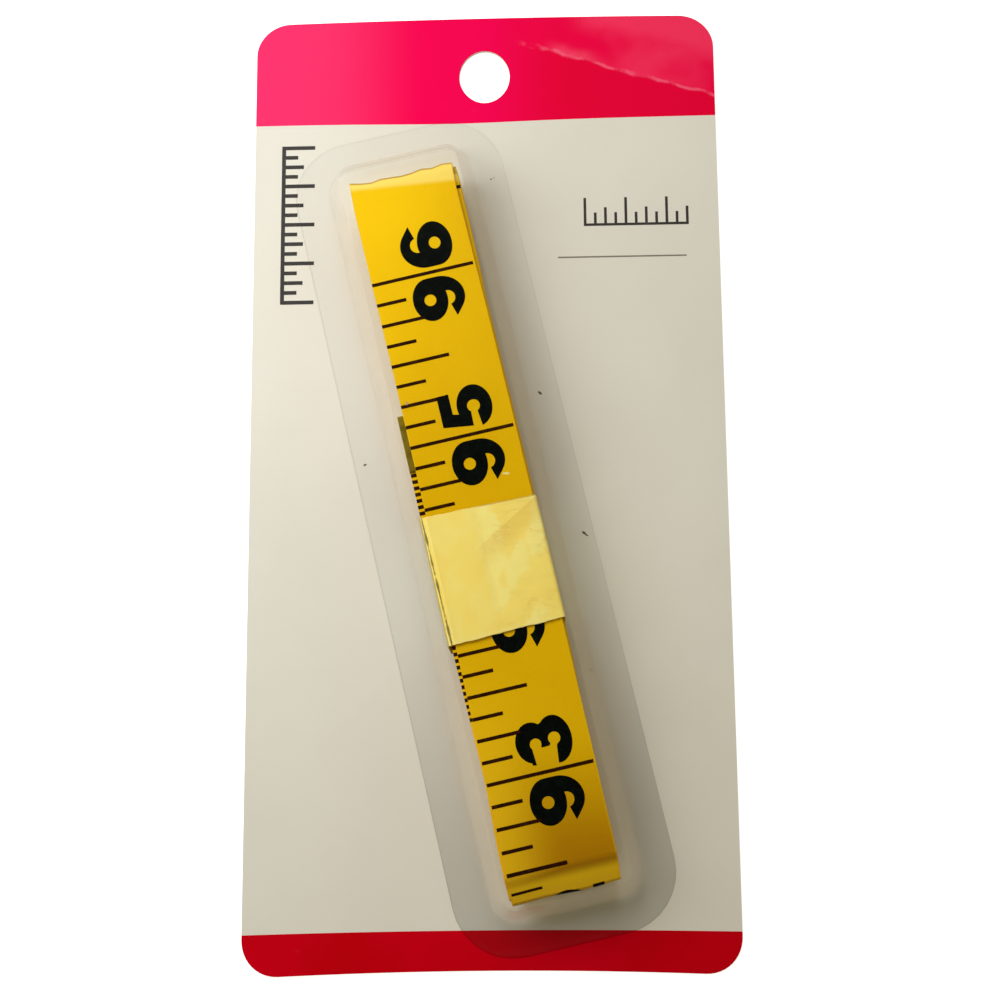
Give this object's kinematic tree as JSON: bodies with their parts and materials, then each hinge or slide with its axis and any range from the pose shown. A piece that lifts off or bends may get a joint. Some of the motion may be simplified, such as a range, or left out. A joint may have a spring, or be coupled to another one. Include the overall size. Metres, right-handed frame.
{
  "type": "cloth tape measure on a hang card",
  "caption": "Folded yellow cloth tape measure held by a paper band under a clear blister, sealed to a printed hang card with a round hang hole.",
  "frame": {"origin": "middle of the card's back face, which is the underside of the whole part", "axes": "+X across the card to its right edge, +Y towards the hang hole, +Z out of the printed face"},
  "size_m": [0.0724, 0.148, 0.0107],
  "materials": {
    "printed_card": "coated board, pale grey with magenta bands",
    "clear_film": "clear, glossy",
    "band_paper": "semi-gloss, pale yellow",
    "coated_cloth": "satin coated cloth, yellow with black graduations",
    "tip_brass": "satin"
  },
  "bodies": {
    "card": {"hang_card": "printed_card"},
    "cover": {"blister": "clear_film"},
    "tape": {"tape_strip": "coated_cloth", "inner_end_tip": "tip_brass", "outer_end_tip": "tip_brass"},
    "band": {"paper_band": "band_paper"}
  },
  "joints": [
    {"name": "cover_peel", "type": "hinge", "parent": "card", "child": "cover", "pos_m": [-0.01568, 0.05477, 0.0008], "axis": [-0.9759, -0.2181, 0], "range_deg": [0, 105]},
    {"name": "tape_shift", "type": "slide", "parent": "card", "child": "tape", "axis": [-0.2181, 0.9759, 0], "range_m": [-0.0002, 0.0022]},
    {"name": "band_slide", "type": "slide", "parent": "tape", "child": "band", "axis": [-0.2181, 0.9759, 0], "range_m": [-0.03, 0.03]}
  ]
}
